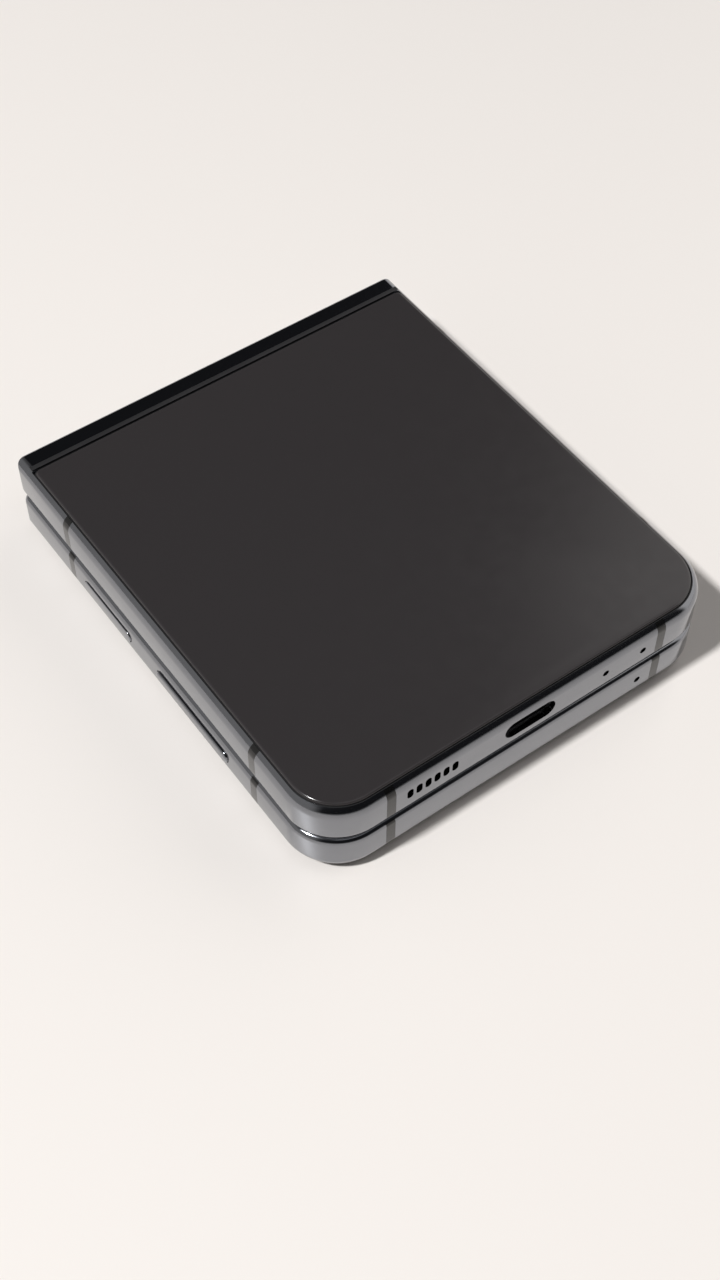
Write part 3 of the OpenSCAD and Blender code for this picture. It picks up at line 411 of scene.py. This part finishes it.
def makeKey(name, node, body, settings):
    # a key as nested slot shapes, from the rim behind the wall out to its rounded face
    low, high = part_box(node)
    rim = settings["flange"]
    length = high.y - low.y - 2 * rim
    height = high.z - low.z - 2 * rim
    centreY, centreZ = (low.y + high.y) / 2, (low.z + high.z) / 2
    inner = high.x - settings["nub"]
    outer = inner - settings["flangeThick"]
    cap = quarterEdge(*settings["capRadius"][node], settings["capSteps"])
    rows = [(-rim, inner), (-rim, outer), (0, outer)]
    rows += [(inset, low.x + depth) for inset, depth in cap]
    grid = []
    for inset, x in rows:
        flat = stadiumOutline(length, height, inset, settings["perEnd"])
        grid.append(np.column_stack([np.full(len(flat), x), centreY + flat[:, 0], centreZ + flat[:, 1]]))
    key = tidyMesh(meshFromGrid(name, np.array(grid), closeAcross=True, caps=True))
    place(key, body, "frame_metal", node)


makeKey("powerKeyCap", "power_key", "power_key", keySettings)
makeKey("volumeKeyCap", "volume_key", "volume_key", keySettings)
print("keys made")


displaySettings = {
    "face": 0.8 * mm,          # distance of the display's face from the closing plane
    "thick": 0.33 * mm,
    "halfWidth": 33.9 * mm,
    "foldHalfWidth": 33.8 * mm,
    "corner": 6.55 * mm,
    "bendAt": -7.2 * mm,       # along the half from the hinge axis, where the display leaves its plate
    "meetAt": 1.79 * mm,       # where the two halves of the display meet when it is open
    "softFrom": (-3.0 * mm, 0.4 * mm),    # start and end of the blend, along the half and in depth
    "softTo": (-1.0 * mm, -1.8 * mm),
    "scanPoints": 1601,
    "creaseDepth": 0.07 * mm,
    "creaseWidth": 1.6 * mm,
    "holeRadius": 1.8 * mm,
    "cornerFrom": 0.12,        # radians round the corner, where its first row lies
    "cornerRows": 14,
    "plateRows": 14,
    "foldRows": 46,
    "columns": 41,
    "endWidth": 0.93,          # width of the row at the free end, as a share of the next row's
    "sharpAngle": 50,
}


def foldedPlaces(along, depth, settings):
    # A point of the flat open display rests turned about the hinge axis by an angle f, at
    # (along cos f + depth sin f, -along sin f + depth cos f). The angle is 90 degrees times the
    # point's blend weight there. The weight is the smoothstep of the point's own place along the
    # blend's line, so it is found by a scan over weights from 0 to 1.
    start = np.array(settings["softFrom"])
    line = np.array(settings["softTo"]) - start

    def restAt(weight):
        f = np.pi / 2 * weight
        return np.stack([along * np.cos(f) + depth * np.sin(f),
                         -along * np.sin(f) + depth * np.cos(f)], -1)

    def miss(weight):
        share = np.clip((restAt(weight) - start) @ line / (line @ line), 0, 1)
        return weight - share * share * (3 - 2 * share)

    found = np.ones(along.shape)
    before = miss(np.zeros(along.shape))
    found[before >= 0] = 0
    unmet = before < 0
    steps = np.linspace(0, 1, settings["scanPoints"])
    for low, high in zip(steps[:-1], steps[1:]):
        after = miss(np.full(along.shape, high))
        hit = unmet & (after > 0)
        found[hit] = low - (high - low) * before[hit] / (after - before)[hit]
        unmet &= ~hit
        before = after
    return restAt(found)


def displayHalfWidth(y, freeEnd, settings):
    # half width of the display at each place along it: rounded corners at the free end
    r = settings["corner"]
    into = np.clip(freeEnd + r - y, 0, r)
    return settings["halfWidth"] - r + np.sqrt(r * r - into * into)


def makeDisplayHalf(name, side, nodes, settings):
    # The sheet is a grid of rows along the half and columns across it, its face and its back
    # joined round the edge. Rows past the bend rest on the folded curve.
    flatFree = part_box(nodes[0])[0].y
    corner = settings["corner"]
    bend = axisY + settings["bendAt"]
    turn = np.linspace(settings["cornerFrom"], np.pi / 2, settings["cornerRows"])
    plateRows = np.linspace(flatFree + corner, bend, settings["plateRows"])[1:]
    flatRows = np.concatenate([[flatFree], flatFree + corner * (1 - np.cos(turn)), plateRows])
    foldRows = np.linspace(settings["bendAt"], settings["meetAt"], settings["foldRows"])[1:]
    halfWidth = np.concatenate([displayHalfWidth(flatRows, flatFree, settings),
                                np.full(len(foldRows), settings["foldHalfWidth"])])
    halfWidth[0] = halfWidth[1] * settings["endWidth"]
    x = halfWidth[:, None] * np.linspace(-1, 1, settings["columns"])
    fromMeeting = (foldRows - settings["meetAt"]) / settings["creaseWidth"]
    crease = settings["creaseDepth"] * np.exp(-fromMeeting ** 2)
    layers = []
    for depth in (settings["face"], settings["face"] + settings["thick"]):
        places = foldedPlaces(foldRows, depth - axisW + crease, settings)
        y = np.concatenate([flatRows, axisY + places[:, 0]])
        w = np.concatenate([np.full(len(flatRows), depth), axisW + places[:, 1]])
        layers.append(np.stack(np.broadcast_arrays(x, y[:, None], heightOf(side, w)[:, None]), -1))
    closed = np.concatenate([layers[0], layers[1][:, ::-1]], 1)   # section round the sheet, per row
    sheet = tidyMesh(meshFromGrid(name, closed, closeAcross=True, caps=True), settings["sharpAngle"])
    dress(sheet, "screen")
    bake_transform(sheet)
    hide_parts(*nodes)


makeDisplayHalf("coverDisplay", -1, ("cover_screen", "fold_screen_cover"), displaySettings)
makeDisplayHalf("baseDisplay", 1, ("base_screen", "fold_screen_base"), displaySettings)
print("folding display made")


bezelSettings = {
    "frameCorner": 8.6 * mm,
    "outside": 1.25 * mm,      # inset of the bezel's outer wall from the frame's side
    "inside": 3.15 * mm,
    "lip": 1.95 * mm,          # inset of the wall that reaches down beside the display
    "face": 0.05 * mm,         # distances from the closing plane
    "overDisplay": 0.78 * mm,
    "foot": 1.13 * mm,
    "edge": 0.3 * mm,          # rounding of its face's two edges, across and in
    "edgeDrop": 0.21 * mm,
    "edgeSteps": 5,
    "sharpAngle": 40,
}


def sidePath(halfX, freeEnd, lastY, corner, perCorner=18, perSide=10):
    # stations along a half's side wall, from the hinge down one side, across the free end and
    # back up the other side, each with its outward direction
    a = np.radians(np.linspace(0, -90, perCorner))
    turn = np.stack([np.cos(a), np.sin(a)], -1)
    side = np.linspace(lastY, freeEnd + corner, perSide)[:-1]
    spots = np.concatenate([np.stack([np.full(perSide - 1, halfX), side], -1),
                            [halfX - corner, freeEnd + corner] + corner * turn])
    outward = np.concatenate([np.tile([1.0, 0.0], (perSide - 1, 1)), turn])
    mirror = np.array([-1, 1])
    return (np.concatenate([spots, spots[::-1] * mirror]),
            np.concatenate([outward, outward[::-1] * mirror]))


def makeBezel(name, side, body, node, settings):
    # an angle-shaped profile of (inset, distance from the closing plane) carried along the side:
    # point = station - outward * inset
    low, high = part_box(node)
    spots, outward = sidePath(sideX, freeY, high.y, settings["frameCorner"])
    edge = quarterEdge(settings["edge"], settings["edgeDrop"], settings["edgeSteps"])
    profile = [(settings["outside"], settings["foot"])]
    profile += [(settings["outside"] + inset, settings["face"] + depth) for inset, depth in edge]
    profile += [(settings["inside"] - inset, settings["face"] + depth) for inset, depth in edge[::-1]]
    profile += [(settings["inside"], settings["overDisplay"]), (settings["lip"], settings["overDisplay"]),
                (settings["lip"], settings["foot"])]
    inset, w = np.array(profile).T
    flat = spots[:, None] - outward[:, None] * inset[:, None]
    z = np.broadcast_to(heightOf(side, w), flat.shape[:2])
    grid = np.concatenate([flat, z[..., None]], -1)
    bezel = tidyMesh(meshFromGrid(name, grid, closeAcross=True, caps=True), settings["sharpAngle"])
    place(bezel, body, "bezel_plastic", node)


makeBezel("coverRim", -1, "cover_half", "cover_bezel", bezelSettings)
makeBezel("baseRim", 1, "base_half", "base_bezel", bezelSettings)


cameraPieces = {
    "rimRadius": 0.25 * mm,    # rounded outer edge of the ring's face
    "rimSteps": 6,
    "bore": 4.87 * mm,
    "boreWide": 0.4 * mm,      # chamfer of the bore, across the face and inwards
    "boreDeep": 0.3 * mm,
    "neckRadius": 5.9 * mm,
    "neckDepth": 1.6 * mm,     # from the ring's face to the neck's inner end
    "proud": 0.68 * mm,
    "lensCrown": 0.12 * mm,
    "lensEdge": 0.1 * mm,      # bevel round the lens glass
    "lensSteps": 10,
    "steps": 96,
}


def makeLensRings(settings):
    # section of a ring: neck through the glass, flange on the glass, rounded rim, chamfered
    # bore; the rings look down, so their faces are the low ends
    low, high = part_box("lens_rings")
    radius = (high.y - low.y) / 2
    rim = settings["rimRadius"]
    face = low.z
    foot = face + settings["neckDepth"]
    seat = face + settings["proud"]
    bore = settings["bore"]
    neck = settings["neckRadius"]
    profile = [(bore, foot), (neck, foot), (neck, seat), (radius, seat)]
    rounded = quarterEdge(rim, rim, settings["rimSteps"])
    profile += [(radius - inset, face + depth) for inset, depth in rounded]
    profile += [(bore + settings["boreWide"], face), (bore, face + settings["boreDeep"])]
    rims = turnedPair("lensRims", low, high, profile, settings["steps"], closeAlong=True)
    place(rims, "cover_half", "frame_metal", "lens_rings")


def makeLensGlasses(settings):
    # slightly crowned disc: the outer face stands out by the crown times 1 - (r / R)^2
    low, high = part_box("lens_glasses")
    radius = (high.y - low.y) / 2
    crown = settings["lensCrown"]
    edge = settings["lensEdge"]
    r = np.linspace(1, 0, settings["lensSteps"])[:-1] * (radius - edge)
    face = low.z + crown * (r / radius) ** 2
    profile = [(0, high.z), (radius, high.z), (radius, low.z + crown + edge)]
    profile += list(zip(r, face)) + [(0, low.z)]
    windows = turnedPair("lensWindows", low, high, profile, settings["steps"])
    place(windows, "cover_half", "lens_glass", "lens_glasses")


selfieSettings = {
    "lens": 1.1 * mm,
    "proud": 0.012 * mm,
    "crown": 0.05 * mm,
    "depth": 0.1 * mm,         # how far the disc goes into the display
    "crownSteps": 7,
    "steps": 64,
}


def makeSelfieWindow(settings, display):
    # black disc in the display with a small crowned lens in its middle
    low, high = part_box("selfie_camera")
    centre = ((low.x + high.x) / 2, (low.y + high.y) / 2)
    face = heightOf(-1, display["face"])
    foot = face - settings["depth"]
    rim = face + settings["proud"]
    radius = display["holeRadius"]
    r = np.linspace(settings["lens"], 0, settings["crownSteps"])
    dome = rim + settings["crown"] * (1 - (r / settings["lens"]) ** 2)
    profile = [(0, foot), (radius, foot), (radius, rim)] + list(zip(r, dome))
    grid = turnedGrid(centre, profile, settings["steps"])
    place(tidyMesh(meshFromGrid("selfieWindow", grid, closeAcross=True)), "cover_half", "lens_glass")


makeLensRings(cameraPieces)
makeLensGlasses(cameraPieces)
makeSelfieWindow(selfieSettings, displaySettings)
print("bezels and cameras made")


contactSettings = {
    "count": 12,
    "pitch": 0.5 * mm,
    "width": 0.26 * mm,
    "length": 3.2 * mm,
    "thick": 0.03 * mm,
    "from": 0.35 * mm,         # behind the tongue's front edge
    "centreOut": 0.9,          # of half its thickness, from the tongue's face to a strip's middle
}


def makeContacts(settings):
    # rows of contact strips on both faces of the tongue: one strip's corners moved along X
    low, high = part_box("usb_tongue")
    half = np.array([settings["width"], settings["length"], settings["thick"]]) / 2
    corners = np.array([[x, y, z] for x in (-1, 1) for y in (-1, 1) for z in (-1, 1)]) * half
    sides = np.array([[0, 1, 3, 2], [4, 6, 7, 5], [0, 4, 5, 1], [2, 3, 7, 6], [0, 2, 6, 4], [1, 5, 7, 3]])
    x = (np.arange(settings["count"]) - (settings["count"] - 1) / 2) * settings["pitch"]
    y = low.y + settings["from"] + settings["length"] / 2
    out = half[2] * settings["centreOut"]
    places = np.stack(np.meshgrid(x, [y], [low.z - out, high.z + out], indexing="ij"), -1)
    places = places.reshape(-1, 3)
    points = (places[:, None] + corners).reshape(-1, 3)
    faces = (np.arange(len(places))[:, None, None] * len(corners) + sides).reshape(-1, 4)
    mesh = bpy.data.meshes.new("usbContacts")
    mesh.from_pydata(points.tolist(), [], faces.tolist())
    contacts = bpy.data.objects.new("usbContacts", mesh)
    bpy.context.scene.collection.objects.link(contacts)
    place(contacts, "base_half", "copper")


makeContacts(contactSettings)


cameraSettings = {
    "position": (-0.10363, -0.14454, 0.22238),
    "target": (-0.009642, -0.014983, 0.0082),
    "roll": 0.252,             # degrees
    "lens": 50.95,             # millimetres
    "sensor": 36,              # millimetres, along the picture's long side
    "clipFrom": 0.01,
    "clipTo": 20,
}


def addCamera(settings):
    data = bpy.data.cameras.new("camera")
    data.sensor_width = settings["sensor"]
    data.lens = settings["lens"]
    data.clip_start = settings["clipFrom"]
    data.clip_end = settings["clipTo"]
    camera = bpy.data.objects.new("camera", data)
    bpy.context.scene.collection.objects.link(camera)
    position = Vector(settings["position"])
    back = (position - Vector(settings["target"])).normalized()
    right = Vector((0, 0, 1)).cross(back).normalized()
    up = back.cross(right)
    turn = math.radians(settings["roll"])
    right, up = (right * math.cos(turn) + up * math.sin(turn),
                 up * math.cos(turn) - right * math.sin(turn))
    axes = Matrix((right, up, back)).transposed().to_4x4()
    camera.matrix_world = Matrix.Translation(position) @ axes
    bpy.context.scene.camera = camera


addCamera(cameraSettings)


studio = {
    "floorColour": (0.86, 0.82, 0.785),
    "floorRoughness": 0.35,
    "floorSize": 3.0,
    "floorPoints": 3,                     # along each side of its grid
    "lampToward": (-0.655, 0.022, 1.0),   # from the phone to the lamp
    "lampDistance": 2.2,
    "lampSize": 0.19,
    "lampPower": 46.5,
    "backdrop": (0.70, 0.68, 0.65),
    "ceiling": (0.02, 0.02, 0.022),
    # Bright areas of the room: degrees from X towards Y, cosine of the level angle from there where
    # the area fades in, heights of a direction where it fades in and where it fades out, colour
    "areas": [
        (-2.5, (0.68, 0.80), (-2, -1), (0.78, 0.90), (1.0, 0.97, 0.94)),
        (150, (0.45, 0.75), (-2, -1), (0.55, 0.80), (0.40, 0.39, 0.38)),
        (0, (-3, -2), (-2, -1), (0.05, 0.17), (0.45, 0.44, 0.42)),
        (-60, (0.1, 0.5), (0.80, 0.89), (2, 3), (0.42, 0.42, 0.43)),
    ],
}


def addFloor(settings):
    half = settings["floorSize"] / 2
    u = np.linspace(-half, half, settings["floorPoints"])
    points = np.stack(np.meshgrid(u, u, [0], indexing="ij"), -1)[:, :, 0]
    floor = meshFromGrid("floor", points)
    floor.data.flip_normals()
    material, _, shader, _ = startMaterial("floorWhite")
    shader.inputs["Base Color"].default_value = (*settings["floorColour"], 1)
    shader.inputs["Roughness"].default_value = settings["floorRoughness"]
    floor.data.materials.append(material)


def addLamp(settings):
    # one round lamp that faces the phone
    toward = Vector(settings["lampToward"]).normalized()
    data = bpy.data.lights.new("keyLamp", "AREA")
    data.shape = "DISK"
    data.size = settings["lampSize"]
    data.energy = settings["lampPower"]
    lamp = bpy.data.objects.new("keyLamp", data)
    lamp.location = toward * settings["lampDistance"]
    lamp.rotation_mode = "QUATERNION"
    lamp.rotation_quaternion = (-lamp.location).to_track_quat("-Z", "Y")
    bpy.context.scene.collection.objects.link(lamp)


def addWorld(settings):
    # Brightness by direction d: a dark ceiling and bright areas over it. An area's share is a
    # smoothstep of the cosine between d's level part and the area's direction, times one
    # smoothstep of d.z up and one down; the brighter of two areas shows.
    world = bpy.data.worlds.new("studioWorld")
    world.use_nodes = True
    tree = world.node_tree

    def node(kind, **choices):
        made = tree.nodes.new(kind)
        for name, choice in choices.items():
            setattr(made, name, choice)
        return made

    def fade(source, low, high, start, end):
        made = node("ShaderNodeMapRange", interpolation_type="SMOOTHSTEP")
        for name, value in zip(("From Min", "From Max", "To Min", "To Max"), (low, high, start, end)):
            made.inputs[name].default_value = value
        tree.links.new(source, made.inputs["Value"])
        return made.outputs["Result"]

    def product(first, second):
        made = node("ShaderNodeMath", operation="MULTIPLY")
        tree.links.new(first, made.inputs[0])
        tree.links.new(second, made.inputs[1])
        return made.outputs["Value"]

    direction = node("ShaderNodeTexCoord").outputs["Generated"]
    level = node("ShaderNodeVectorMath", operation="MULTIPLY")
    level.inputs[1].default_value = (1, 1, 0)
    tree.links.new(direction, level.inputs[0])
    unit = node("ShaderNodeVectorMath", operation="NORMALIZE")
    tree.links.new(level.outputs["Vector"], unit.inputs[0])
    split = node("ShaderNodeSeparateXYZ")
    tree.links.new(direction, split.inputs["Vector"])
    height = split.outputs["Z"]
    shown = None
    for around, spread, fadeIn, fadeOut, colour in settings["areas"]:
        cosine = node("ShaderNodeVectorMath", operation="DOT_PRODUCT")
        turn = math.radians(around)
        cosine.inputs[1].default_value = (math.cos(turn), math.sin(turn), 0)
        tree.links.new(unit.outputs["Vector"], cosine.inputs[0])
        band = product(fade(height, *fadeIn, 0, 1), fade(height, *fadeOut, 1, 0))
        share = product(band, fade(cosine.outputs["Value"], *spread, 0, 1))
        mix = node("ShaderNodeMix", data_type="RGBA")
        mix.inputs["A"].default_value = (*settings["ceiling"], 1)
        mix.inputs["B"].default_value = (*colour, 1)
        tree.links.new(share, mix.inputs["Factor"])
        if shown is None:
            shown = mix.outputs["Result"]
            continue
        lighter = node("ShaderNodeMix", data_type="RGBA", blend_type="LIGHTEN")
        lighter.inputs["Factor"].default_value = 1
        tree.links.new(shown, lighter.inputs["A"])
        tree.links.new(mix.outputs["Result"], lighter.inputs["B"])
        shown = lighter.outputs["Result"]
    seen = node("ShaderNodeMix", data_type="RGBA")      # the camera itself sees a plain backdrop
    seen.inputs["B"].default_value = (*settings["backdrop"], 1)
    tree.links.new(node("ShaderNodeLightPath").outputs["Is Camera Ray"], seen.inputs["Factor"])
    tree.links.new(shown, seen.inputs["A"])
    tree.links.new(seen.outputs["Result"], tree.nodes["Background"].inputs["Color"])
    bpy.context.scene.world = world


addFloor(studio)
addLamp(studio)
addWorld(studio)
bpy.context.scene.view_settings.view_transform = "Standard"
print("camera, floor, lamp and world set")
